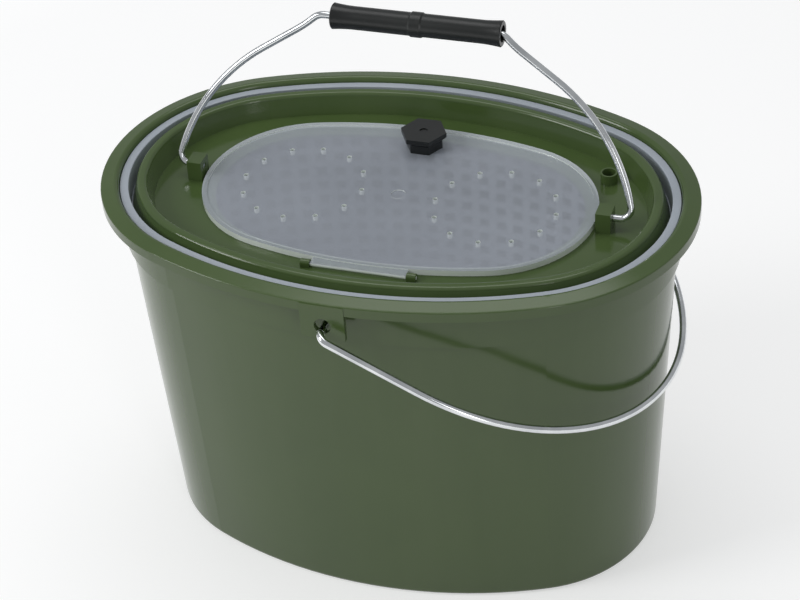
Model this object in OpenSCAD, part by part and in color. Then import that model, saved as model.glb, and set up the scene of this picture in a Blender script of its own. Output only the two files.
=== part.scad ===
// Oval live-bait bucket: an outer pail, a perforated basket that hangs in it, a lid with a
// clear hinged hatch and an air-hose port, and two wire bails.
// Millimetres, +Z up. The origin is the middle of the pail's flat base, +X is the long axis,
// and the hatch is hinged on its -Y side.

/* [Pail] */
// Length over the lip
rim_len = 360; // [350:1:380]
// Width over the lip
rim_wid = 246; // [238:1:256]
// Radius of the rounded ends, at the lip
rim_end_r = 107; // [102:1:112]
// Height to the top of the lip
pail_h = 237; // [200:1:260]
// Wall thickness
wall_t = 1.8; // [1.6:0.1:2.2]
// Floor thickness
floor_t = 2.5; // [2:0.1:4]
// Radius of the outer bottom edge
foot_r = 4; // [2:0.5:6]
// How far the base lies inside the outline of the lip
base_inset = 25; // [22:0.5:28]
// How far the top of the tapered wall lies inside the outline of the lip
wall_top_inset = 13.5; // [13:0.1:14.5]
// How far the foot of the collar lies inside the outline of the lip
collar_inset = 11; // [10.5:0.1:11.5]
// Height of the collar, from its foot to the top of the lip
collar_h = 34; // [30:1:40]
// Height of the sloping step below the collar
step_h = 2; // [1.5:0.1:3]
// Thickness of the lip
lip_t = 2.2; // [1.8:0.1:2.6]
// Height of the turned-down edge of the lip
lip_skirt_h = 8; // [6:0.5:9]
// How far the top of the lip falls towards its outer edge
lip_fall = 1.6; // [0.5:0.1:2]
// Rounding of the lip's outer edge
lip_edge_r = 0.9; // [0.5:0.1:1.5]
// Rounding of the lip's inner edge
lip_mouth_r = 2.9; // [1.5:0.1:3.2]
// Fillet between the collar and the lip
lip_fillet = 3; // [1:0.5:4]

/* [Pail ears] */
// Distance of the ears from the middle, along the pail
ear_x = -5; // [-8:0.5:0]
// Width of an ear
ear_w = 26; // [20:1:32]
// Thickness of an ear
ear_t = 3; // [2.5:0.1:4]
// Depth of an ear below the top of the lip
ear_drop = 25; // [23:0.5:28]
// Distance from the top of the lip to the middle of the ear's hole
ear_hole_drop = 16.5; // [15.5:0.1:17.5]
// Diameter of the ear's hole
ear_hole_d = 10; // [8:0.1:11]
// How far the ear stands out from the lip's edge
ear_proud = 0.3; // [0.3:0.1:1.5]
// Thickness of the two ribs behind an ear
ear_rib_t = 2; // [1.5:0.1:3]
// How far the ribs lie inside the sides of the ear
ear_rib_in = 4; // [0:0.5:5]

/* [Pail bail] */
// Wire diameter
pail_bail_d = 4.5; // [4:0.1:5]
// How far the middle of the wire passes outside the ears
pail_bail_side = 8.7; // [7.5:0.1:12]
// How far the middle of the wire passes beyond the end of the lip, when the bail is level
pail_bail_end = 9; // [8:0.5:14]
// Angle that the bail hangs below level
pail_bail_hang = 26; // [20:0.5:27]
// Bend radius of the wire at an ear
pail_bail_bend_r = 6; // [5:0.5:7]
// How far the end of the wire reaches in behind the ear
pail_bail_tail = 3; // [2:0.5:4]

/* [Basket] */
// How far the basket's rim lies below the top of the lip
ring_drop = 3; // [2:0.5:4]
// How far the inner edge of the basket's rim lies inside the outline of the lip
ring_inset = 16.6; // [16.5:0.1:17.5]
// Wall thickness
basket_t = 1.8; // [1.5:0.1:2]
// Depth of the lid's seat below the basket's rim
seat_depth = 12; // [10:0.5:13]
// Width of the ledge that the lid rests on
seat_w = 4; // [3.5:0.1:5]
// Height of the basket's floor above the pail's floor
basket_raise = 9.5; // [6:0.5:20]
// Clearance round the basket's rim
basket_clear = 0.4; // [0.3:0.1:0.6]
// Width of a slot in the wall
slot_w = 6.5; // [4:0.1:8]
// Distance between two slots along the wall
slot_pitch = 11; // [10:0.1:14]
// Rows of slots in the wall
slot_rows = 5; // [3:1:6]
// Height of the bands between two rows of slots
slot_band = 5; // [3:0.1:8]
// Height of the plain wall below the slots and above them
slot_margin = 14; // [10:1:20]
// Size of the square holes in the floor
drain_w = 7; // [4:0.1:9]
// Distance between two holes in the floor
drain_pitch = 18; // [16:0.5:24]

/* [Lid] */
// Wall thickness
lid_t = 2; // [1.6:0.1:2.2]
// Height of the ridge above the basket's rim
ridge_rise = 2.5; // [1.5:0.5:4]
// How far the outer shoulder of the ridge lies inside the outline of the lip
ridge_inset = 21.5; // [21:0.1:22.5]
// Width of the ridge
ridge_w = 6.5; // [6:0.1:8]
// Rounding of the ridge
ridge_r = 2.4; // [1.5:0.1:2.6]
// Depth of the recessed floor below the top of the ridge
recess_depth = 13.7; // [12:0.1:14]
// How much the ridge's inner wall leans in on its way down
recess_lean = 3; // [2:0.1:4]
// Clearance between the lid's edge and the basket
lid_clear = 0.5; // [0.3:0.1:0.7]
// Width of the rim on which the hatch rests
hatch_rest_w = 8; // [6:0.5:10]

/* [Air-hose port] */
// Bore, for the air hose
port_bore = 8; // [6:0.1:9]
// Wall thickness of the port
port_t = 1.1; // [0.9:0.1:1.5]
// Height of the port above the lid's floor
port_h = 6.5; // [4:0.5:8]
// Distance of the port from the middle, along the lid
port_x = 117; // [114:0.5:118]
// Distance of the port from the middle, across the lid
port_y = 47; // [45:0.5:49]

/* [Hatch] */
// How far the ends of the hatch lie inside the outline of the lip
hatch_end_inset = 60; // [58:0.5:64]
// How far the long sides of the hatch lie inside the outline of the lip
hatch_side_inset = 50; // [49:0.5:53]
// Radius of the rounded ends
hatch_end_r = 66; // [60:1:69]
// How far the hatch lies towards the back
hatch_shift = 2.5; // [1.5:0.1:3]
// Plate thickness
hatch_t = 3; // [2.5:0.1:3.5]
// Width of the raised border
border_w = 3; // [2:0.1:4]
// Height of the raised border
border_h = 0.6; // [0.4:0.1:1]
// Diameter of the vent holes
vent_d = 3; // [2:0.1:4]
// Radius of each circle of vent holes
vent_ring_r = 36.7; // [30:0.1:38]
// Distance of each circle of vent holes from the middle
vent_ring_x = 59.5; // [58:0.5:64]
// Vent holes in each circle
vent_count = 12; // [6:1:16]
// Diameter of the dimple in the middle
dimple_d = 9; // [6:0.5:12]
// Depth of the dimple
dimple_depth = 0.5; // [0.3:0.1:1]

/* [Hatch hinge] */
// Length of the hatch's hinge tab
tab_len = 57; // [50:1:64]
// Diameter of the hinge stubs
stub_d = 2.4; // [2:0.1:2.7]
// Thickness of a lug
lug_t = 5.5; // [4:0.1:7]
// Wall of a lug round its hole
lug_wall = 1.2; // [1:0.1:1.6]
// Radial clearance of the stubs in the lugs
stub_clear = 0.08; // [0.05:0.01:0.1]
// Gap between the tab and each lug
tab_gap = 0.5; // [0.3:0.1:1]

/* [Knob] */
// Width of the knob's six-sided top, across corners
knob_w = 28.8; // [24:0.1:32]
// Width of the knob's foot, across corners
knob_foot_w = 23; // [20:0.1:23.5]
// Height of the knob
knob_h = 11; // [9:0.1:13]
// Thickness of the knob's wide top
knob_head_h = 3; // [2:0.1:4]
// Height of the flare below the top
knob_flare_h = 2.5; // [1:0.1:3]
// Distance of the knob from the back edge of the hatch
knob_edge = 19.5; // [18:0.5:24]
// Diameter of the hollow in the knob's top
knob_dish_d = 5; // [3:0.1:8]
// Depth of the hollow in the knob's top
knob_dish_depth = 0.6; // [0.3:0.1:1]
// Diameter of the screw's shank
screw_d = 3; // [2.5:0.1:3.5]
// Diameter of the screw's head
screw_head_d = 7; // [6:0.1:8]
// Height of the screw's head
screw_head_h = 2.2; // [1.6:0.1:2.5]
// How far the screw reaches into the knob
screw_grip = 7; // [5:0.1:7.5]
// Radial clearance of the screw in the knob and the hatch
screw_clear = 0.05; // [0.02:0.01:0.1]

/* [Lid bail] */
// Wire diameter
lid_bail_d = 4.2; // [3.6:0.1:4.4]
// Height of the grip above the bail's pivot, when the bail stands upright
lid_bail_rise = 99; // [94:0.5:106]
// Angle that the bail leans back
lid_bail_lean = 22; // [10:1:30]
// Length of a boss for the bail, along the lid
boss_len = 9; // [8:0.5:10]
// Width of a boss
boss_w = 12; // [10:0.5:14]
// Wall of a boss above its hole
boss_wall = 3; // [2:0.1:3.5]
// Height of the bail's pivot above the lid's floor
pivot_h = 7.7; // [7:0.1:9]
// Gap between the hatch and a boss
boss_gap = 1.5; // [1:0.1:2]
// Radial clearance of the wire in a boss
pivot_clear = 0.1; // [0.05:0.01:0.1]
// Distance from a boss to the middle of the upright wire
wire_out = 8; // [7.5:0.1:8.5]
// How far the bail has slid towards +X in its bosses
lid_bail_slide = 2; // [0:0.1:2.2]
// How far the ends of the wire stay short of the bosses' inner faces
wire_end_gap = 0.5; // [0.3:0.1:1]
// Bend radius of the wire at a boss
wire_foot_r = 6; // [5:0.1:6.5]
// Bend radius of the wire next to the grip
wire_neck_r = 10; // [9:0.5:12]
// Radius of the wire's slight back-bend
wire_sway_r = 76; // [60:1:90]
// Slope of the wire next to the grip
neck_slope = 42; // [40:0.5:45]
// Slope of the wire's straight shoulder
shoulder_slope = 32.8; // [30:0.1:35]
// Slope of the wire where it reaches the foot bend
foot_slope = 75.7; // [72:0.1:80]

/* [Grip] */
// Length
grip_len = 102.7; // [96:0.1:108]
// Diameter of the slim part
grip_d = 13.8; // [12:0.1:16]
// Diameter of the flared ends
grip_end_d = 15.6; // [14:0.1:18]
// Length of the flare at each end
grip_flare_len = 14; // [8:0.5:20]
// Diameter of the collar in the middle
grip_collar_d = 15; // [14:0.1:17]
// Length of the collar in the middle
grip_collar_len = 6; // [4:0.5:10]
// Diameter of the hollow in each end
grip_hollow_d = 10; // [8:0.1:11]
// Depth of the hollow in each end
grip_hollow_depth = 10; // [8:0.5:16]
// Radial clearance of the wire in the grip
grip_clear = 0.1; // [0.05:0.01:0.1]
// How far the grip has slid along the wire
grip_slide = 4.5; // [0:0.5:5]
// End play of the grip on the wire's straight run
grip_play = 0.9; // [0.5:0.1:2]

/* [Hidden] */
$fn = 96;

seat_gap = 0.3;         // left between pieces that rest on each other
band_w = 14;            // width of the swept band at the edge of an oval plate
cut = 1;                // how far a cut runs past the surface that it opens
fillet_steps = 6;       // straight runs in a quarter round
wire_facets = 32;       // facets round a wire
ring_over = 0.1;        // how much wider than the wire the rings at its joints are
ring_len = 0.6;         // length of those rings
arc_lap = 0.05;         // degrees by which the side arcs of an oval run into its end arcs
arc_step = 0.02;        // how much further out the side arcs lie, a clean step at each joint
edge_soft = 0.5;        // small rounding of moulded edges
lug_gap = 0.6;          // left between the lugs and the hatch
tab_root = 0.8;         // how far the tab runs in under the hatch's border, as a share of its width

rim_a = rim_len / 2;
rim_b = rim_wid / 2;
step_z = pail_h - collar_h;
ledge_z = step_z + wall_t;
draft = (base_inset - wall_top_inset) / step_z;

ring_z = pail_h - ring_drop;
seat_z = ring_z - seat_depth;
basket_z = floor_t + basket_raise;
basket_floor_z = basket_z + basket_t;

ridge_z = ring_z + ridge_rise;
deck_z = ridge_z - recess_depth;
deck_inset = ridge_inset + ridge_w + recess_lean;

hatch_z = deck_z + seat_gap;
hatch_top = hatch_z + hatch_t;
hatch_a = rim_a - hatch_end_inset;
hatch_b = rim_b - hatch_side_inset;
hatch_front_y = hatch_shift - hatch_b;
hinge_z = hatch_z + hatch_t / 2;
hinge_y = hatch_front_y - lug_r() - lug_gap;

knob_y = hatch_shift + hatch_b - knob_edge;
flare_z = knob_h - knob_head_h - knob_flare_h;

pivot_z = deck_z + pivot_h;
boss_in_x = hatch_a + boss_gap;
boss_out_x = boss_in_x + boss_len;
grip_half = grip_len / 2;
grip_run = grip_half + grip_play;

ear_out = rim_b + ear_proud;
ear_hole_z = pail_h - ear_hole_drop;
pail_pivot_z = ear_hole_z - (ear_hole_d - pail_bail_d) / 2 + seat_gap;
pail_bail_half = ear_out + pail_bail_side;

olive = [0.353, 0.408, 0.298];
milk = [0.72, 0.75, 0.78];
clear = [0.75, 0.80, 0.85, 0.6];
zinc = [0.72, 0.74, 0.75];
black = [0.12, 0.13, 0.13];

function lug_r() = stub_d / 2 + stub_clear + lug_wall;

// Insets from the outline of the lip, at height z
function pail_in(z) = base_inset - draft * z;
function collar_in(z) = collar_inset - draft * (z - step_z);
function basket_skirt_in(z) = collar_in(z) + wall_t + basket_clear;
function basket_rim_in(z) = ring_inset + draft * (ring_z - z);
function basket_in(z) = basket_rim_in(z) + seat_w;

// Points of a round of radius r about [x, z], from angle a0 to a1
function round_pts(x, z, r, a0, a1) =
    [for (i = [0 : fillet_steps]) let (t = a0 + (a1 - a0) * i / fillet_steps)
        [x + r * cos(t), z + r * sin(t)]];

// An oval of four arcs: half-length a, half-width b, ends of radius r
function side_r(a, b, r) = (a * a + b * b - 2 * a * r) / (2 * (b - r));
function end_angle(a, b, r) = atan2(side_r(a, b, r) - b, a - r);
function oval_points(a, b, r, n = 10) =
    let (s = side_r(a, b, r), t = end_angle(a, b, r))
    concat([for (i = [0 : n]) let (u = -t + 2 * t * i / n) [a - r + r * cos(u), r * sin(u)]],
           [for (i = [1 : n - 1]) let (u = t + (180 - 2 * t) * i / n) [s * cos(u), b - s + s * sin(u)]],
           [for (i = [0 : n]) let (u = 180 - t + 2 * t * i / n) [r - a + r * cos(u), r * sin(u)]],
           [for (i = [1 : n - 1]) let (u = 180 + t + (180 - 2 * t) * i / n) [s * cos(u), s - b + s * sin(u)]]);

// Carries a flat section round an oval. In the section x is measured outwards from the oval.
module sweep(a, b, r) {
    s = side_r(a, b, r);
    t = end_angle(a, b, r);
    for (turn = [0, 180])
        rotate([0, 0, turn]) {
            translate([a - r, 0, 0])
                rotate_extrude(angle = 2 * t, start = -t) translate([r, 0]) children();
            translate([0, b - s, 0])
                rotate_extrude(angle = 180 - 2 * t + 2 * arc_lap, start = t - arc_lap)
                    translate([s + arc_step, 0]) children();
        }
}

module rim_sweep() {
    sweep(rim_a, rim_b, rim_end_r) children();
}

// A flat oval plate from height z, of thickness h
module oval_plate(a, b, r, z, h) {
    sweep(a, b, r)
        translate([-band_w, z]) square([band_w, h]);
    translate([0, 0, z])
        linear_extrude(h) polygon(oval_points(a - band_w / 2, b - band_w / 2, r - band_w / 2));
}

// The same plate, given by how far its edge lies inside the outline of the lip
module inset_plate(inset, z, h) {
    oval_plate(rim_a - inset, rim_b - inset, rim_end_r - inset, z, h);
}

// Bent wire in the XY plane, from the origin along +X. A step is [length] for a straight run or
// [radius, turn] for a bend; a positive turn is to the left. A short ring, hardly wider than the
// wire, closes the joint between one step and the next.
module wire(steps, d, i = 0) {
    if (i < len(steps)) {
        size = steps[i][0];
        if (i > 0)
            rotate([0, 90, 0]) cylinder(d = d + ring_over, h = ring_len, center = true, $fn = wire_facets);
        if (len(steps[i]) == 1) {
            rotate([0, 90, 0]) cylinder(d = d, h = size, $fn = wire_facets);
            translate([size, 0, 0]) wire(steps, d, i + 1);
        } else {
            turn = steps[i][1];
            side = sign(turn);
            sweep_angle = abs(turn);
            translate([0, side * size, 0])
                rotate_extrude(angle = sweep_angle, start = side > 0 ? -90 : 90 - sweep_angle)
                    translate([size, 0]) circle(d = d, $fn = wire_facets);
            translate([size * sin(sweep_angle), side * size * (1 - cos(sweep_angle)), 0])
                rotate([0, 0, turn]) wire(steps, d, i + 1);
        }
    }
}

module outer_pail() {
    lip_under = pail_h - lip_t;
    lip_low = pail_h - lip_skirt_h;
    mouth_in = collar_in(lip_under) + wall_t;
    fillet_z = lip_under - lip_fillet;
    plate_in = base_inset + foot_r + band_w;
    section = concat(
        [[-plate_in, 0]],
        round_pts(-base_inset - foot_r, foot_r, foot_r, -90, 0),
        [[-pail_in(step_z - step_h), step_z - step_h],
         [-collar_in(step_z), step_z]],
        round_pts(lip_fillet - collar_in(fillet_z), fillet_z, lip_fillet, 180, 90),
        [[-lip_t, lip_under - lip_fall],
         [-lip_t, lip_low],
         [0, lip_low]],
        round_pts(-lip_edge_r, pail_h - lip_fall - lip_edge_r, lip_edge_r, 0, 90),
        round_pts(-mouth_in + lip_mouth_r, pail_h - lip_mouth_r, lip_mouth_r, 90, 180),
        [[-collar_in(ledge_z) - wall_t, ledge_z],
         [-pail_in(ledge_z) - wall_t, ledge_z],
         [-pail_in(floor_t) - wall_t, floor_t],
         [-plate_in, floor_t]]);
    color(olive)
        difference() {
            union() {
                rim_sweep() polygon(section);
                inset_plate(plate_in - band_w / 2, 0, floor_t);
                for (side = [0, 1]) mirror([0, side, 0]) ear();
            }
            for (side = [0, 1])
                mirror([0, side, 0])
                    translate([ear_x, -ear_out - cut, ear_hole_z])
                        rotate([-90, 0, 0]) cylinder(d = ear_hole_d, h = ear_t + 2 * cut);
        }
}

// One ear of the pail, on the -Y side: a plate under the lip, with two ribs to the collar
module ear() {
    low = pail_h - ear_drop;
    high = pail_h - lip_fall - lip_edge_r;
    wall_y = -rim_b + collar_in(low) + wall_t / 2;
    translate([ear_x - ear_w / 2, -ear_out, low])
        cube([ear_w, ear_t, high - low]);
    for (x = [ear_rib_in - ear_w / 2, ear_w / 2 - ear_rib_in - ear_rib_t])
        translate([ear_x + x, 0, 0])
            rotate([90, 0, 90]) linear_extrude(ear_rib_t)
                polygon([[-ear_out + ear_t / 2, low + ear_t], [wall_y, low + ear_t + ear_out + wall_y],
                         [wall_y, high], [-ear_out + ear_t / 2, high]]);
}

module pail_bail() {
    inner_y = ear_out - ear_t - pail_bail_tail;
    stub = pail_bail_half - pail_bail_bend_r - inner_y;
    arm = rim_a - ear_x + pail_bail_end - pail_bail_half - pail_bail_bend_r;
    color(zinc)
        translate([ear_x, 0, pail_pivot_z]) rotate([0, pail_bail_hang, 0])
            translate([0, -inner_y, 0]) rotate([0, 0, -90])
                wire([[stub], [pail_bail_bend_r, 90], [arm], [pail_bail_half, 180], [arm],
                      [pail_bail_bend_r, 90], [stub]], pail_bail_d);
}

module inner_basket() {
    flange_z = ring_z - basket_t;
    skirt_z = ledge_z + seat_gap;
    plate_in = basket_in(basket_z) + band_w;
    section = concat(
        [[-plate_in, basket_z],
         [-basket_in(basket_z) + basket_t, basket_z],
         [-basket_in(seat_z - basket_t) + basket_t, seat_z - basket_t],
         [-basket_rim_in(seat_z - basket_t) + basket_t, seat_z - basket_t],
         [-basket_rim_in(flange_z) + basket_t, flange_z],
         [-basket_skirt_in(flange_z) - basket_t, flange_z],
         [-basket_skirt_in(skirt_z) - basket_t, skirt_z],
         [-basket_skirt_in(skirt_z), skirt_z]],
        round_pts(-basket_skirt_in(ring_z) - edge_soft, ring_z - edge_soft, edge_soft, 0, 90),
        round_pts(-ring_inset + edge_soft, ring_z - edge_soft, edge_soft, 90, 180),
        [[-basket_rim_in(seat_z), seat_z],
         [-basket_in(seat_z), seat_z],
         [-basket_in(basket_floor_z), basket_floor_z],
         [-plate_in, basket_floor_z]]);
    color(milk)
        difference() {
            union() {
                rim_sweep() polygon(section);
                inset_plate(plate_in - band_w / 2, basket_z, basket_t);
            }
            basket_slots();
            basket_drains();
        }
}

// Slots through the basket's wall, set out along the four arcs of the oval
module basket_slots() {
    s = side_r(rim_a, rim_b, rim_end_r);
    t = end_angle(rim_a, rim_b, rim_end_r);
    low = basket_floor_z + slot_margin;
    high = seat_z - slot_margin;
    slot_h = (high - low + slot_band) / slot_rows - slot_band;
    mid_in = basket_in((low + high) / 2);
    end_n = floor(2 * t * PI / 180 * (rim_end_r - mid_in) / slot_pitch);
    side_n = floor((180 - 2 * t) * PI / 180 * (s - mid_in) / slot_pitch);
    for (turn = [0, 180], row = [0 : slot_rows - 1])
        rotate([0, 0, turn]) {
            z = low + row * (slot_h + slot_band);
            translate([rim_a - rim_end_r, 0, 0])
                slot_row(rim_end_r, -t, 2 * t, end_n, z, slot_h);
            translate([0, rim_b - s, 0])
                slot_row(s, t, 180 - 2 * t, side_n, z, slot_h);
        }
}

// One row of n slots on an arc of radius r, from angle start over span
module slot_row(r, start, span, n, z, h) {
    outer = r - basket_in(z + h) + basket_t + cut;
    inner = r - basket_in(z) - cut;
    for (i = [0 : n - 1])
        rotate([0, 0, start + span * (i + 0.5) / n])
            translate([inner, -slot_w / 2, z]) cube([outer - inner, slot_w, h]);
}

// Square drain holes in the basket's floor, in rows that keep clear of its edge
module basket_drains() {
    edge = basket_in(basket_z) + drain_pitch;
    rows = floor((rim_b - edge) / drain_pitch);
    for (row = [-rows : rows]) {
        y = row * drain_pitch;
        reach = rim_a - edge - rim_end_r * (1 - cos(asin(min(1, abs(y) / rim_end_r))));
        columns = floor(reach / drain_pitch);
        for (column = [-columns : columns])
            translate([column * drain_pitch - drain_w / 2, y - drain_w / 2, basket_z - cut])
                cube([drain_w, drain_w, basket_t + 2 * cut]);
    }
}

module lid() {
    edge_z = seat_z + seat_gap;
    edge_in = basket_rim_in(edge_z) + lid_clear;
    crest_in = ridge_inset + ridge_w;
    under_z = ridge_z - lid_t;
    plate_in = deck_inset + band_w;
    section = concat(
        [[-edge_in - lid_t, edge_z],
         [-edge_in, edge_z]],
        round_pts(-ridge_inset - ridge_r, ridge_z - ridge_r, ridge_r, 0, 90),
        round_pts(-crest_in + ridge_r, ridge_z - ridge_r, ridge_r, 90, 180),
        [[-deck_inset, deck_z],
         [-plate_in, deck_z],
         [-plate_in, deck_z - lid_t],
         [-deck_inset + lid_t, deck_z - lid_t],
         [-crest_in + lid_t, under_z],
         [-ridge_inset - lid_t, under_z]]);
    color(olive)
        difference() {
            union() {
                rim_sweep() polygon(section);
                inset_plate(plate_in - band_w / 2, deck_z - lid_t, lid_t);
                for (side = [0, 180]) rotate([0, 0, side]) bail_boss();
                for (side = [-1, 1]) hinge_lug(side);
                translate([port_x, port_y, deck_z - lid_t / 2])
                    cylinder(d = port_bore + 2 * port_t, h = port_h + lid_t / 2);
            }
            translate([0, hatch_shift, 0])
                oval_plate(hatch_a - hatch_rest_w, hatch_b - hatch_rest_w, hatch_end_r - hatch_rest_w,
                           deck_z - lid_t - cut, lid_t + 2 * cut);
            translate([port_x, port_y, deck_z - lid_t - cut])
                cylinder(d = port_bore, h = port_h + lid_t + 2 * cut);
        }
}

// Boss in which one end of the lid's bail turns, at the +X end
module bail_boss() {
    top = pivot_h + lid_bail_d / 2 + pivot_clear + boss_wall;
    difference() {
        translate([boss_in_x, -boss_w / 2, deck_z - lid_t / 2])
            cube([boss_len, boss_w, top + lid_t / 2]);
        translate([boss_in_x - cut, 0, pivot_z])
            rotate([0, 90, 0]) cylinder(d = lid_bail_d + 2 * pivot_clear, h = boss_len + 2 * cut);
    }
}

// Lug that holds one hinge stub of the hatch
module hinge_lug(side) {
    x = side * (tab_len / 2 + tab_gap + lug_t / 2);
    translate([x, hinge_y, hinge_z]) rotate([0, 90, 0])
        difference() {
            union() {
                cylinder(r = lug_r(), h = lug_t, center = true);
                translate([0, -lug_r(), -lug_t / 2])
                    cube([hinge_z - deck_z + lid_t / 2, 2 * lug_r(), lug_t]);
            }
            cylinder(d = stub_d + 2 * stub_clear, h = lug_t + 2 * cut, center = true);
        }
}

module hatch() {
    stub_reach = tab_len / 2 + tab_gap + lug_t;
    color(clear)
        difference() {
            union() {
                translate([0, hatch_shift, 0]) {
                    oval_plate(hatch_a, hatch_b, hatch_end_r, hatch_z, hatch_t);
                    sweep(hatch_a, hatch_b, hatch_end_r)
                        translate([-border_w, hatch_z]) square([border_w, hatch_t + border_h]);
                }
                translate([-tab_len / 2, hinge_y, hatch_z])
                    cube([tab_len, hatch_front_y + tab_root * border_w - hinge_y, hatch_t]);
                translate([0, hinge_y, hinge_z]) rotate([0, 90, 0]) {
                    cylinder(d = hatch_t, h = tab_len, center = true);
                    cylinder(d = stub_d, h = 2 * stub_reach, center = true);
                }
            }
            for (side = [-1, 1], k = [0 : vent_count - 1])
                translate([side * vent_ring_x, hatch_shift, hatch_z - cut])
                    rotate([0, 0, 360 * k / vent_count])
                        translate([vent_ring_r, 0, 0]) cylinder(d = vent_d, h = hatch_t + 2 * cut);
            translate([0, hatch_shift, hatch_top - dimple_depth])
                cylinder(d = dimple_d, h = dimple_depth + cut);
            translate([0, knob_y, hatch_z - cut])
                cylinder(d = screw_d + 2 * screw_clear, h = hatch_t + 2 * cut);
        }
}

module knob() {
    color(black)
        translate([0, knob_y, hatch_top])
            difference() {
                union() {
                    cylinder(d = knob_foot_w, h = flare_z, $fn = 6);
                    translate([0, 0, flare_z])
                        cylinder(d1 = knob_foot_w, d2 = knob_w, h = knob_flare_h, $fn = 6);
                    translate([0, 0, flare_z + knob_flare_h])
                        cylinder(d = knob_w, h = knob_head_h, $fn = 6);
                }
                translate([0, 0, knob_h - knob_dish_depth])
                    cylinder(d = knob_dish_d, h = knob_dish_depth + cut);
                translate([0, 0, -cut])
                    cylinder(d = screw_d + 2 * screw_clear, h = screw_grip + 2 * cut);
            }
}

module knob_screw() {
    color(zinc)
        translate([0, knob_y, hatch_z - screw_head_h]) {
            cylinder(d = screw_head_d, h = screw_head_h);
            cylinder(d = screw_d, h = screw_head_h + hatch_t + screw_grip);
        }
}

// Wire bail of the lid. Its arc and its straight shoulder are sized so that the wire runs from
// the grip's straight run to the bosses, at the rise that is set.
module lid_bail() {
    wide = boss_out_x + wire_out;
    span = wide - grip_run - wire_neck_r * sin(neck_slope)
        - wire_sway_r * (sin(neck_slope) - sin(shoulder_slope));
    fall = lid_bail_rise - wire_neck_r * (1 - cos(neck_slope))
        - wire_sway_r * (cos(shoulder_slope) - cos(neck_slope)) - wire_foot_r * (1 + cos(foot_slope));
    arc_x = sin(foot_slope) - sin(shoulder_slope);
    arc_z = cos(shoulder_slope) - cos(foot_slope);
    arc_r = (span * sin(shoulder_slope) - fall * cos(shoulder_slope))
        / (arc_x * sin(shoulder_slope) - arc_z * cos(shoulder_slope));
    shoulder = (span - arc_r * arc_x) / cos(shoulder_slope);
    end_x = boss_in_x + lid_bail_slide + wire_end_gap;
    stub = wide - wire_foot_r * sin(foot_slope) - end_x;
    half = [[stub],
            [wire_foot_r, foot_slope - 180],
            [arc_r, shoulder_slope - foot_slope],
            [shoulder],
            [wire_sway_r, neck_slope - shoulder_slope],
            [wire_neck_r, -neck_slope]];
    other_half = [for (i = [len(half) - 1 : -1 : 0]) half[i]];
    color(zinc)
        bail_pose() rotate([90, 0, 0])
            translate([-end_x, 0, 0]) rotate([0, 0, 180])
                wire(concat(half, [[2 * grip_run]], other_half), lid_bail_d);
}

// From the bail's own upright place about its pivot to where it leans
module bail_pose() {
    translate([lid_bail_slide, 0, pivot_z]) rotate([-lid_bail_lean, 0, 0]) children();
}

module grip() {
    flare_x = grip_half - grip_flare_len;
    collar_x = grip_collar_len / 2;
    collar_run = (grip_collar_d - grip_d) / 2 + edge_soft;
    half = [[collar_x, grip_collar_d / 2], [collar_x + collar_run, grip_d / 2], [flare_x, grip_d / 2]];
    flare = [for (i = [1 : fillet_steps]) let (u = i / fillet_steps)
        [flare_x + (grip_flare_len - edge_soft) * u, (grip_d + (grip_end_d - grip_d) * u * u) / 2]];
    side = concat(half, flare, [[grip_half, grip_end_d / 2 - edge_soft]]);
    outline = concat([[-grip_half, 0]], [for (i = [len(side) - 1 : -1 : 0]) [-side[i][0], side[i][1]]],
                     side, [[grip_half, 0]]);
    color(black)
        bail_pose() translate([grip_slide, 0, lid_bail_rise]) rotate([0, 90, 0])
            difference() {
                rotate_extrude() polygon([for (p = outline) [p[1], p[0]]]);
                cylinder(d = lid_bail_d + 2 * grip_clear, h = grip_len + 2 * cut, center = true);
                for (end = [0, 1])
                    mirror([0, 0, end])
                        translate([0, 0, grip_half - grip_hollow_depth])
                            cylinder(d = grip_hollow_d, h = grip_hollow_depth + cut);
            }
}

outer_pail();
pail_bail();
inner_basket();
lid();
hatch();
knob();
knob_screw();
lid_bail();
grip();
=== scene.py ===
"""Looks of the oval bait bucket: materials, the perforated basket in full, and the stage."""

import math

import bmesh
import bpy
from mathutils import Matrix, Vector
from mathutils.geometry import delaunay_2d_cdt


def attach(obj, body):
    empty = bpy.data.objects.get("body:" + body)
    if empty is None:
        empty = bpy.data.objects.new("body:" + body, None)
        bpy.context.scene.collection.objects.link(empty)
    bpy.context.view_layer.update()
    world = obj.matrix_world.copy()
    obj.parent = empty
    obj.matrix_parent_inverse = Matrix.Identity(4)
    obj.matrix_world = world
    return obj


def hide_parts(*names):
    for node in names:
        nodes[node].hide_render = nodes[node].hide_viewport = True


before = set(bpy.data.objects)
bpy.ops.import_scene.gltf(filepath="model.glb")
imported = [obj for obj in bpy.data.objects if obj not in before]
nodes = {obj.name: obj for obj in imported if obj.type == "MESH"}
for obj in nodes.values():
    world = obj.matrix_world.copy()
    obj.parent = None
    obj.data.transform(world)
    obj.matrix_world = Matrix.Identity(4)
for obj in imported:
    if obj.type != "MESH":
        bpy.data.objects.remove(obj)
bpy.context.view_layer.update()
scene = bpy.context.scene

MM = 0.001

# Sizes of the pail, in millimetres, as in the CAD source. The insets are measured from the lip's outline.
RIM_A, RIM_B, RIM_R = 180.0, 123.0, 107.0   # half length, half width, radius of the ends
BASE_IN, WALL_TOP_IN, COLLAR_IN = 25.0, 13.5, 11.0
COLLAR_Z = 203.0                            # foot of the collar
DRAFT = (BASE_IN - WALL_TOP_IN) / COLLAR_Z  # lean of the walls
WALL = 1.8                                  # thickness of the pail's and the basket's walls

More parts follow.
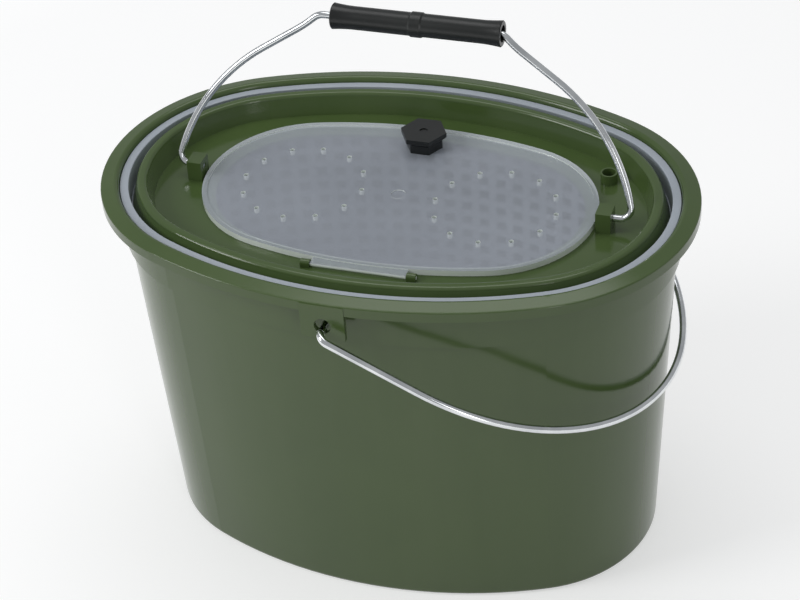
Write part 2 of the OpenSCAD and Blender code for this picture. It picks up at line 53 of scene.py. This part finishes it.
# Sizes of the basket, in millimetres
RING_Z, RING_IN = 234.0, 16.6               # top of the ring, and its inner edge
SEAT_Z = RING_Z - 12.0                      # the seat on which the lid stands
SEAT_W = 4.0                                # how far the wall lies inside the ring's inner face
SKIRT_Z, SKIRT_CLEAR = 205.1, 0.4           # foot of the outer skirt, and its gap to the pail
BELT_H = 9.0                                # the plain belt between the seat and the perforated wall
FLOOR_Z = 12.0                              # underside of the floor
EDGE_R = 0.5                                # rounding of the ring's edges
HOLE = 6.4                                  # side of a square hole
PITCH_ROUND, PITCH_UP, ROWS = 11.0, 10.4, 17
PITCH_MEASURED_Z = 120.0                    # the height at which the pitch round the wall is kept
CREASE = math.radians(30)                   # an edge that turns by more than this is drawn sharp
NEAR = 1e-7                                 # metres; points nearer than this are one

# Most of a noise texture's values lie between these
LOW, HIGH = 0.3, 0.7
NOISE_ROUGHNESS = 0.55

# How much of the light the clear plastic keeps: its flat faces from the front, its back faces as a share
# of that, and what its edges add as painted edge light
HAZE, HAZE_SPREAD, BACK_SHARE, PAINTED_EDGE_COVER = 0.33, 0.02, 0.2, 0.7


# ---------------------------------------------------------------- material kit
class Nodes:
    """A small builder for the node tree of a material or of the world."""

    def __init__(self, owner, output):
        self.owner = owner
        owner.use_nodes = True
        self.tree = owner.node_tree
        self.tree.nodes.clear()
        self.out = self.add(output)

    def add(self, kind, **settings):
        node = self.tree.nodes.new(kind)
        for key, value in settings.items():
            setattr(node, key, value)
        return node

    def link(self, a, b):
        self.tree.links.new(a, b)

    def coords(self):
        return self.add("ShaderNodeTexCoord").outputs["Object"]

    def scaled(self, vector, scale):
        node = self.add("ShaderNodeMapping")
        self.link(vector, node.inputs["Vector"])
        node.inputs["Scale"].default_value = scale
        return node.outputs["Vector"]

    def noise(self, vector, scale, detail):
        node = self.add("ShaderNodeTexNoise")
        self.link(vector, node.inputs["Vector"])
        node.inputs["Scale"].default_value = scale
        node.inputs["Detail"].default_value = detail
        node.inputs["Roughness"].default_value = NOISE_ROUGHNESS
        return node.outputs["Fac"]

    def ramp(self, value, low, high, to_low=0.0, to_high=1.0):
        """Maps the span from low to high onto the span from to_low to to_high."""
        node = self.add("ShaderNodeMapRange")
        node.inputs["From Min"].default_value = low
        node.inputs["From Max"].default_value = high
        node.inputs["To Min"].default_value = to_low
        node.inputs["To Max"].default_value = to_high
        self.link(value, node.inputs["Value"])
        return node.outputs["Result"]

    def math(self, operation, a, b=None):
        node = self.add("ShaderNodeMath", operation=operation)
        for i, value in enumerate((a, b)):
            if value is None:
                continue
            if isinstance(value, (int, float)):
                node.inputs[i].default_value = value
            else:
                self.link(value, node.inputs[i])
        return node.outputs["Value"]

    def mix(self, fac, a, b):
        """Mixes two colours; the numbers are the places of the colour sockets on the node."""
        node = self.add("ShaderNodeMix", data_type="RGBA")
        self.link(fac, node.inputs[0])
        for place, value in ((6, a), (7, b)):
            if isinstance(value, tuple):
                node.inputs[place].default_value = (*value, 1.0)
            else:
                self.link(value, node.inputs[place])
        return node.outputs[2]

    def bump(self, height, distance, strength, normal=None):
        node = self.add("ShaderNodeBump")
        node.inputs["Distance"].default_value = distance
        node.inputs["Strength"].default_value = strength
        self.link(height, node.inputs["Height"])
        if normal is not None:
            self.link(normal, node.inputs["Normal"])
        return node.outputs["Normal"]


def material_nodes(name):
    return Nodes(bpy.data.materials.new(name), "ShaderNodeOutputMaterial")


def moulded(name, base, dark, light, rough, grain=0.00003, streaks=0.4, soft=0.0):
    """Moulded plastic: cloudy pigment, fine grain, faint flow lines and a slightly wavy surface."""
    n = material_nodes(name)
    obj = n.coords()
    p = n.add("ShaderNodeBsdfPrincipled")
    cloud = n.noise(obj, scale=9.0, detail=3.0)
    fine = n.noise(obj, scale=900.0, detail=3.0)
    # Drawn out along Z, so that the flow lines run up the piece
    flow = n.noise(n.scaled(obj, (26.0, 26.0, 1.6)), scale=1.0, detail=4.0)
    tone = n.mix(n.ramp(cloud, LOW, HIGH), dark, base)
    tone = n.mix(n.math("MULTIPLY", n.ramp(flow, 0.45, 0.75), streaks), tone, light)
    n.link(tone, p.inputs["Base Color"])
    gloss = n.ramp(fine, LOW, HIGH, to_low=rough - 0.02, to_high=rough + 0.02)
    clouded = n.ramp(cloud, LOW, HIGH, to_low=-0.03, to_high=0.04)
    n.link(n.math("ADD", gloss, clouded), p.inputs["Roughness"])
    p.inputs["IOR"].default_value = 1.49
    if soft:
        p.inputs["Subsurface Weight"].default_value = soft
        p.inputs["Subsurface Radius"].default_value = (1.0, 1.0, 1.0)
        p.inputs["Subsurface Scale"].default_value = 0.004
    wave = n.bump(n.noise(obj, scale=8.0, detail=1.0), distance=0.0002, strength=0.25)
    n.link(n.bump(fine, distance=grain, strength=0.6, normal=wave), p.inputs["Normal"])
    n.link(p.outputs["BSDF"], n.out.inputs["Surface"])
    return n.owner


def wire_metal(name):
    """Bright zinc-plated wire with fine marks and dull patches."""
    n = material_nodes(name)
    obj = n.coords()
    p = n.add("ShaderNodeBsdfPrincipled")
    p.inputs["Metallic"].default_value = 1.0
    cloud = n.noise(obj, scale=45.0, detail=4.0)
    fine = n.noise(obj, scale=700.0, detail=2.0)
    n.link(n.mix(n.ramp(cloud, 0.35, 0.7), (0.60, 0.62, 0.64), (0.82, 0.84, 0.85)),
           p.inputs["Base Color"])
    n.link(n.ramp(cloud, 0.3, 0.75, to_low=0.08, to_high=0.20), p.inputs["Roughness"])
    n.link(n.bump(fine, distance=0.00001, strength=0.5), p.inputs["Normal"])
    n.link(p.outputs["BSDF"], n.out.inputs["Surface"])
    return n.owner


def clear_plastic(name):
    """Clear moulded plastic, cloudy inside, with its upright sides painted lighter and more opaque as
    painted light carried to its edges.
    """
    n = material_nodes(name)
    obj = n.coords()
    p = n.add("ShaderNodeBsdfPrincipled")
    p.inputs["IOR"].default_value = 1.7
    haze = n.noise(obj, scale=14.0, detail=3.0)
    fine = n.noise(obj, scale=500.0, detail=2.0)
    n.link(n.ramp(fine, LOW, HIGH, to_low=0.03, to_high=0.08), p.inputs["Roughness"])
    geometry = n.add("ShaderNodeNewGeometry")
    front = n.math("SUBTRACT", 1.0, geometry.outputs["Backfacing"])
    facing = n.add("ShaderNodeSeparateXYZ")
    n.link(n.add("ShaderNodeTexCoord").outputs["Normal"], facing.inputs["Vector"])
    # 0 on the flat faces and 1 on the upright sides, which get painted light: a lighter colour and more
    # cover
    painted_edge_light = n.ramp(n.math("ABSOLUTE", facing.outputs["Z"]), 0.85, 0.35)
    n.link(n.mix(painted_edge_light, (0.66, 0.71, 0.80), (0.86, 0.91, 0.88)), p.inputs["Base Color"])
    fresnel = n.add("ShaderNodeFresnel")
    fresnel.inputs["IOR"].default_value = 1.5
    gloss = n.math("MULTIPLY", fresnel.outputs["Fac"], front)
    body = n.math("MULTIPLY", n.ramp(haze, LOW, HIGH, HAZE - HAZE_SPREAD, HAZE + HAZE_SPREAD),
                  n.ramp(front, 0.0, 1.0, BACK_SHARE, 1.0))
    # The upright sides add their painted edge light to the cover
    cover = n.math("ADD", n.math("ADD", body, gloss), n.math("MULTIPLY", painted_edge_light, PAINTED_EDGE_COVER))
    n.link(n.math("MINIMUM", cover, 1.0), p.inputs["Alpha"])
    wave = n.bump(n.noise(obj, scale=12.0, detail=2.0), distance=0.0002, strength=0.15)
    n.link(wave, p.inputs["Normal"])
    n.link(p.outputs["BSDF"], n.out.inputs["Surface"])
    return n.owner


OLIVE = moulded("olive_plastic", base=(0.070, 0.112, 0.034), dark=(0.060, 0.099, 0.029),
                light=(0.084, 0.125, 0.044), rough=0.15, grain=0.000012)
MILK = moulded("milky_plastic", base=(0.42, 0.46, 0.51), dark=(0.37, 0.41, 0.46),
               light=(0.48, 0.52, 0.57), rough=0.34, streaks=0.3, soft=0.15)
BLACK = moulded("black_plastic", base=(0.010, 0.012, 0.011), dark=(0.006, 0.007, 0.007),
                light=(0.018, 0.020, 0.019), rough=0.34, grain=0.00006)
ZINC = wire_metal("zinc_wire")
CLEAR = clear_plastic("clear_plastic")


def dress(name, mat):
    """Gives every face of a CAD node the one material."""
    mesh = nodes[name].data
    mesh.materials.clear()
    mesh.materials.append(mat)
    for poly in mesh.polygons:
        poly.material_index = 0


for node_name, mat in (("outer_pail", OLIVE), ("lid", OLIVE), ("pail_bail", ZINC), ("lid_bail", ZINC),
                       ("knob_screw", ZINC), ("knob", BLACK), ("grip", BLACK), ("hatch", CLEAR),
                       ("inner_basket", MILK)):
    dress(node_name, mat)


# ---------------------------------------------------------------- the basket, in full
# The lip's outline has four arcs: two ends of radius RIM_R and two sides of radius SIDE_R. An end
# spans END_T radians to either side of the long axis.
SIDE_R = (RIM_A ** 2 + RIM_B ** 2 - 2 * RIM_A * RIM_R) / (2 * (RIM_B - RIM_R))
END_T = math.atan2(SIDE_R - RIM_B, RIM_A - RIM_R)


def rim_in(z):
    """Inset of the ring's inner face at a height."""
    return RING_IN + DRAFT * (RING_Z - z)


def wall_in(z):
    """Inset of the inner face of the basket's wall at a height."""
    return rim_in(z) + SEAT_W


def skirt_in(z):
    """Inset of the outer face of the basket's skirt, just inside the pail's collar."""
    return COLLAR_IN - DRAFT * (z - COLLAR_Z) + WALL + SKIRT_CLEAR


def arcs():
    """The four arcs of the lip's outline: centre, radius, first angle and span."""
    out = []
    for flip, turn in ((1, 0.0), (-1, math.pi)):
        out.append((flip * (RIM_A - RIM_R), 0.0, RIM_R, turn - END_T, 2 * END_T))
        out.append((0.0, flip * (RIM_B - SIDE_R), SIDE_R, turn + END_T, math.pi - 2 * END_T))
    return out


def stations():
    """Stations round the wall: arc, angle and whether the strip that follows is a hole."""
    out = []
    for arc in arcs():
        radius, start, span = arc[2:]
        run = span * (radius - wall_in(PITCH_MEASURED_Z))
        count = math.floor(run / PITCH_ROUND)
        half = HOLE / 2 / (run / count)
        for i in range(count):
            for share, hole in ((0.0, False), (0.5 - half, True), (0.5, True), (0.5 + half, False)):
                out.append((arc, start + span * (i + share) / count, hole))
    return out


def at(arc, angle, inset, z):
    """The point at an angle of an arc, set in from the lip's outline, in metres."""
    cx, cy, radius = arc[:3]
    reach = radius - inset
    return Vector((cx + reach * math.cos(angle), cy + reach * math.sin(angle), z)) * MM


def face(bm, verts):
    """Adds a face, unless the mesh has it."""
    try:
        bm.faces.new(verts)
    except ValueError:
        pass


def swept(bm, section, loop):
    """An open section, given as inset and height, carried round the oval."""
    rings = [[bm.verts.new(at(arc, angle, inset, z)) for inset, z in section] for arc, angle, _ in loop]
    for i, ring in enumerate(rings):
        following = rings[(i + 1) % len(rings)]
        for k in range(len(section) - 1):
            face(bm, (ring[k], following[k], following[k + 1], ring[k + 1]))


def wall_levels(low, high):
    """Heights up the wall, and whether the band above each is a row of holes."""
    first = low + (high - low - (ROWS - 1) * PITCH_UP - HOLE) / 2
    levels = [(low, False)]
    for row in range(ROWS):
        z = first + row * PITCH_UP
        levels += [(z, True), (z + HOLE, False)]
    return levels + [(high, False)]


def perforated_wall(bm, loop, low, high):
    """The basket's wall, two skins with the sides of every square hole between them."""
    levels = wall_levels(low, high)
    n, m = len(loop), len(levels)
    outer, inner = ([[bm.verts.new(at(arc, angle, wall_in(z) - thick, z)) for z, _ in levels]
                     for arc, angle, _ in loop] for thick in (WALL, 0.0))

    def solid(i, k):
        """Whether there is plastic between stations i and i + 1 and between levels k and k + 1."""
        return not (loop[i % n][2] and 0 <= k < m - 1 and levels[k][1])

    for i in range(n):
        j = (i + 1) % n
        face(bm, (outer[i][0], inner[i][0], inner[j][0], outer[j][0]))
        for k in range(m - 1):
            if solid(i, k):
                face(bm, (outer[i][k], outer[j][k], outer[j][k + 1], outer[i][k + 1]))
                face(bm, (inner[j][k], inner[i][k], inner[i][k + 1], inner[j][k + 1]))
                continue
            if solid(i, k - 1):
                face(bm, (outer[i][k], outer[j][k], inner[j][k], inner[i][k]))
            if solid(i, k + 1):
                face(bm, (outer[j][k + 1], outer[i][k + 1], inner[i][k + 1], inner[j][k + 1]))
            if solid(i - 1, k):
                face(bm, (outer[i][k + 1], outer[i][k], inner[i][k], inner[i][k + 1]))
            if solid(i + 1, k):
                face(bm, (outer[j][k], outer[j][k + 1], inner[j][k + 1], inner[j][k]))


def drain_cells(edge):
    """Columns and rows of the floor's holes, which keep the given inset from the lip's outline."""
    rows = math.floor((RIM_B - edge) / PITCH_ROUND)
    for row in range(-rows, rows + 1):
        y = row * PITCH_ROUND
        reach = RIM_A - edge - RIM_R * (1 - math.cos(math.asin(min(1.0, abs(y) / RIM_R))))
        columns = math.floor(reach / PITCH_ROUND)
        for column in range(-columns, columns + 1):
            yield column, row


def drain_floor(bm, loop, low):
    """The basket's floor, a plate with a grid of square holes that keeps clear of its edge."""
    points = [at(arc, angle, wall_in(low) - WALL, 0.0).to_2d() for arc, angle, _ in loop]
    outlines = [list(range(len(points)))]
    cells = list(drain_cells(wall_in(low) + PITCH_ROUND))
    half = HOLE / 2
    for column, row in cells:
        x, y = column * PITCH_ROUND, row * PITCH_ROUND
        outlines.append(list(range(len(points), len(points) + 4)))
        for dx, dy in ((-half, -half), (half, -half), (half, half), (-half, half)):
            points.append(Vector((x + dx, y + dy)) * MM)
    edges = [(line[i], line[(i + 1) % len(line)]) for line in outlines for i in range(len(line))]
    only_inside = 1                         # triangles inside the outer outline, holes included
    verts, _, faces, *_ = delaunay_2d_cdt(points, edges, [], only_inside, NEAR)
    top = [bm.verts.new((v.x, v.y, (low + WALL) * MM)) for v in verts]
    under = [bm.verts.new((v.x, v.y, low * MM)) for v in verts]
    rims = set()
    for f in faces:
        c = sum((verts[i] for i in f), Vector((0.0, 0.0))) / len(f) / MM
        cell = (round(c.x / PITCH_ROUND), round(c.y / PITCH_ROUND))
        off = max(abs(c.x - cell[0] * PITCH_ROUND), abs(c.y - cell[1] * PITCH_ROUND))
        if cell in cells and off < half:
            continue
        face(bm, [top[i] for i in f])
        face(bm, [under[i] for i in reversed(f)])
        rims.update((f[i], f[(i + 1) % len(f)]) for i in range(len(f)))
    for a, b in sorted(rims):
        if (b, a) not in rims:
            face(bm, (top[b], top[a], under[a], under[b]))


def finish_mesh(bm, name, mat):
    """Turns the mesh into an object that is smooth but for its sharp edges."""
    bmesh.ops.remove_doubles(bm, verts=bm.verts, dist=NEAR)
    bmesh.ops.recalc_face_normals(bm, faces=bm.faces)
    for e in bm.edges:
        e.smooth = e.calc_face_angle(0.0) < CREASE
    for f in bm.faces:
        f.smooth = True
    mesh = bpy.data.meshes.new(name)
    bm.to_mesh(mesh)
    bm.free()
    mesh.materials.append(mat)
    o = bpy.data.objects.new(name, mesh)
    scene.collection.objects.link(o)
    return o


def rounded(inset, z, first, last, steps=6):
    """A quarter round of the section, about a centre, between two angles in degrees."""
    angles = [math.radians(first + (last - first) * i / steps) for i in range(steps + 1)]
    return [(inset - EDGE_R * math.cos(a), z + EDGE_R * math.sin(a)) for a in angles]


def basket():
    """The whole basket: the belt, seat, ring and skirt in one sweep, the wall, and the floor."""
    loop = stations()
    ring_under = RING_Z - WALL
    seat_under = SEAT_Z - WALL
    wall_top = SEAT_Z - BELT_H
    section = [(wall_in(wall_top) - WALL, wall_top), (wall_in(seat_under) - WALL, seat_under),
               (rim_in(seat_under) - WALL, seat_under), (rim_in(ring_under) - WALL, ring_under),
               (skirt_in(ring_under) + WALL, ring_under), (skirt_in(SKIRT_Z) + WALL, SKIRT_Z),
               (skirt_in(SKIRT_Z), SKIRT_Z)]
    section += rounded(skirt_in(RING_Z) + EDGE_R, RING_Z - EDGE_R, 0, 90)
    section += rounded(RING_IN - EDGE_R, RING_Z - EDGE_R, 90, 180)
    section += [(rim_in(SEAT_Z), SEAT_Z), (wall_in(SEAT_Z), SEAT_Z), (wall_in(wall_top), wall_top)]
    bm = bmesh.new()
    swept(bm, section, loop)
    perforated_wall(bm, loop, FLOOR_Z + WALL, wall_top)
    drain_floor(bm, loop, FLOOR_Z)
    o = finish_mesh(bm, "basket_mesh", MILK)
    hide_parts("inner_basket")
    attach(o, "basket")


basket()


# ---------------------------------------------------------------- stage
FLOOR_SIZE, FLOOR_DROP = 14.0, 0.0002       # metres; the floor lies just under the pail's base
FLOOR_GREY = 0.62
GLOW_NEAR, GLOW_FAR = 0.50, 0.96            # glow of the floor by the object and far away; the lower glow by the object is painted shade round it
GLOW_FROM, GLOW_TO = 0.7, 2.6               # metres from the object over which it rises
SKY_COLOUR, SKY_STRENGTH = (0.95, 0.97, 0.99, 1.0), 0.42
WHITE = (1.0, 1.0, 1.0, 1.0)


def floor_material():
    """A pale floor that takes the shadow. It glows only where it is seen, also in a mirror image, and
    glows less by the object, a painted shade round it.
    """
    n = material_nodes("floor_white")
    d = n.add("ShaderNodeBsdfDiffuse")
    d.inputs["Color"].default_value = (FLOOR_GREY, FLOOR_GREY, FLOOR_GREY, 1.0)
    e = n.add("ShaderNodeEmission")
    path = n.add("ShaderNodeLightPath")
    seen = n.math("MAXIMUM", path.outputs["Is Camera Ray"],
                  n.math("MAXIMUM", path.outputs["Is Glossy Ray"], path.outputs["Is Transmission Ray"]))
    away = n.add("ShaderNodeVectorMath", operation="LENGTH")
    n.link(n.coords(), away.inputs[0])
    # The glow dips near the object, which paints shade on the floor round it
    glow = n.ramp(away.outputs["Value"], GLOW_FROM, GLOW_TO, GLOW_NEAR, GLOW_FAR)
    n.link(n.math("MULTIPLY", seen, glow), e.inputs["Strength"])
    both = n.add("ShaderNodeAddShader")
    n.link(d.outputs["BSDF"], both.inputs[0])
    n.link(e.outputs["Emission"], both.inputs[1])
    n.link(both.outputs["Shader"], n.out.inputs["Surface"])
    return n.owner


bpy.ops.mesh.primitive_plane_add(size=FLOOR_SIZE, location=(0, 0, -FLOOR_DROP))
floor = bpy.context.object
floor.name = "floor"
floor.data.materials.append(floor_material())


def studio():
    """The world: white to the camera, and a soft even light to everything else."""
    world = bpy.data.worlds.new("studio")
    scene.world = world
    n = Nodes(world, "ShaderNodeOutputWorld")
    path = n.add("ShaderNodeLightPath")
    choice = n.add("ShaderNodeMixShader")
    n.link(path.outputs["Is Camera Ray"], choice.inputs["Fac"])
    for place, colour, strength in ((1, SKY_COLOUR, SKY_STRENGTH), (2, WHITE, 1.0)):
        sky = n.add("ShaderNodeBackground")
        sky.inputs["Color"].default_value = colour
        sky.inputs["Strength"].default_value = strength
        n.link(sky.outputs["Background"], choice.inputs[place])
    n.link(choice.outputs["Shader"], n.out.inputs["Surface"])


studio()


def area(name, place, target, size, watts):
    """A rectangular lamp that points at a target."""
    data = bpy.data.lights.new(name, "AREA")
    data.shape = "RECTANGLE"
    data.size, data.size_y = size
    data.energy = watts
    o = bpy.data.objects.new(name, data)
    scene.collection.objects.link(o)
    o.location = place
    o.rotation_euler = (Vector(target) - Vector(place)).to_track_quat("-Z", "Y").to_euler()


area("key", place=(-1.85, -1.2, 1.65), target=(0, 0, 0.12), size=(0.9, 1.2), watts=22.0)
area("fill", place=(1.2, -1.6, 0.8), target=(0, 0, 0.12), size=(0.35, 1.2), watts=4.0)
area("top", place=(-0.2, 0.5, 2.2), target=(0, 0, 0.2), size=(1.6, 1.0), watts=10.0)


# ---------------------------------------------------------------- camera
# The photo's camera, solved from the photo: lens and sensor in millimetres, place in metres, and
# angles in degrees
LENS, SENSOR = 108.293, 36.0
CAMERA_PLACE = (0.398485, -1.107618, 1.023885)
AZIMUTH, ELEVATION, ROLL = 19.917, 36.592, -4.182


def photo_camera():
    data = bpy.data.cameras.new("camera")
    cam = bpy.data.objects.new("camera", data)
    scene.collection.objects.link(cam)
    scene.camera = cam
    data.lens = LENS
    data.sensor_width = SENSOR
    az, el, roll = (math.radians(v) for v in (AZIMUTH, ELEVATION, ROLL))
    back = Vector((math.sin(az) * math.cos(el), -math.cos(az) * math.cos(el), math.sin(el)))
    level = Vector((math.cos(az), math.sin(az), 0.0))
    upright = back.cross(level)
    right = level * math.cos(roll) + upright * math.sin(roll)
    up = upright * math.cos(roll) - level * math.sin(roll)
    turn = Matrix((right, up, back)).transposed().to_4x4()
    cam.matrix_world = Matrix.Translation(Vector(CAMERA_PLACE)) @ turn


photo_camera()
scene.view_settings.view_transform = "Standard"
